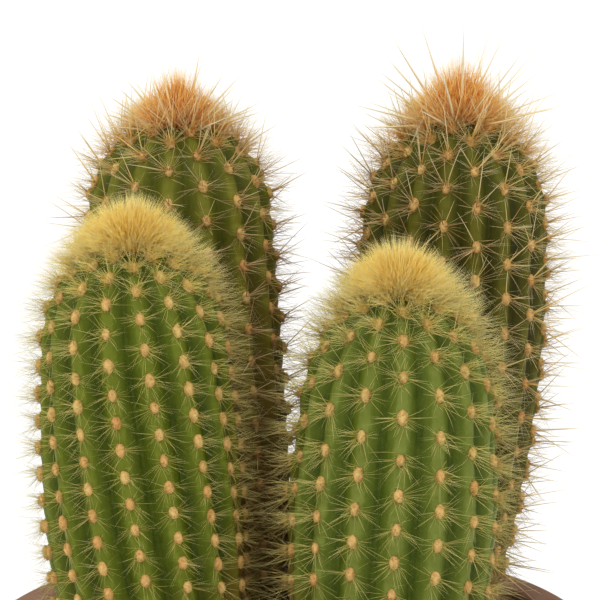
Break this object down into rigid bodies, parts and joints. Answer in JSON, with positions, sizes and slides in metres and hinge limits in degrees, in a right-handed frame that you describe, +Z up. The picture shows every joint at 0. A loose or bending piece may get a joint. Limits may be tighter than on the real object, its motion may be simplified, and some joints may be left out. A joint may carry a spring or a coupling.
{
  "type": "potted cactus",
  "caption": "Clump of ribbed columnar cactus stems with bristly crowns, growing in soil in a plain round tapered clay pot that stands on its flat base.",
  "frame": {"origin": "centre of the pot's flat underside, on the surface that it stands on", "axes": "+Z up, the way the stems grow and the longest way; -Y towards the two shorter stems at the front; +X to the right of them"},
  "size_m": [0.1698, 0.1698, 0.3003],
  "materials": {
    "clay": "unglazed dark brown fired clay, matt, faintly mottled",
    "soil": "dark crumbly potting soil with grit",
    "stem_skin": "waxy green plant skin, satin, darker in the grooves",
    "areole_wool": "short felted wool, cream to tan",
    "pale_spines": "fine stiff spines, pale straw, satin",
    "golden_bristles": "dense young bristles, golden yellow with pale tips",
    "rust_bristles": "dense young bristles, orange-brown with pale tips"
  },
  "bodies": {
    "root": {"pot": "clay", "soil": "soil", "stem_front_left": "stem_skin", "crown_front_left": "golden_bristles", "stem_front_right": "stem_skin", "crown_front_right": "golden_bristles", "stem_back_left": "stem_skin", "crown_back_left": "rust_bristles", "stem_back_right": "stem_skin", "crown_back_right": "rust_bristles"}
  },
  "joints": []
}
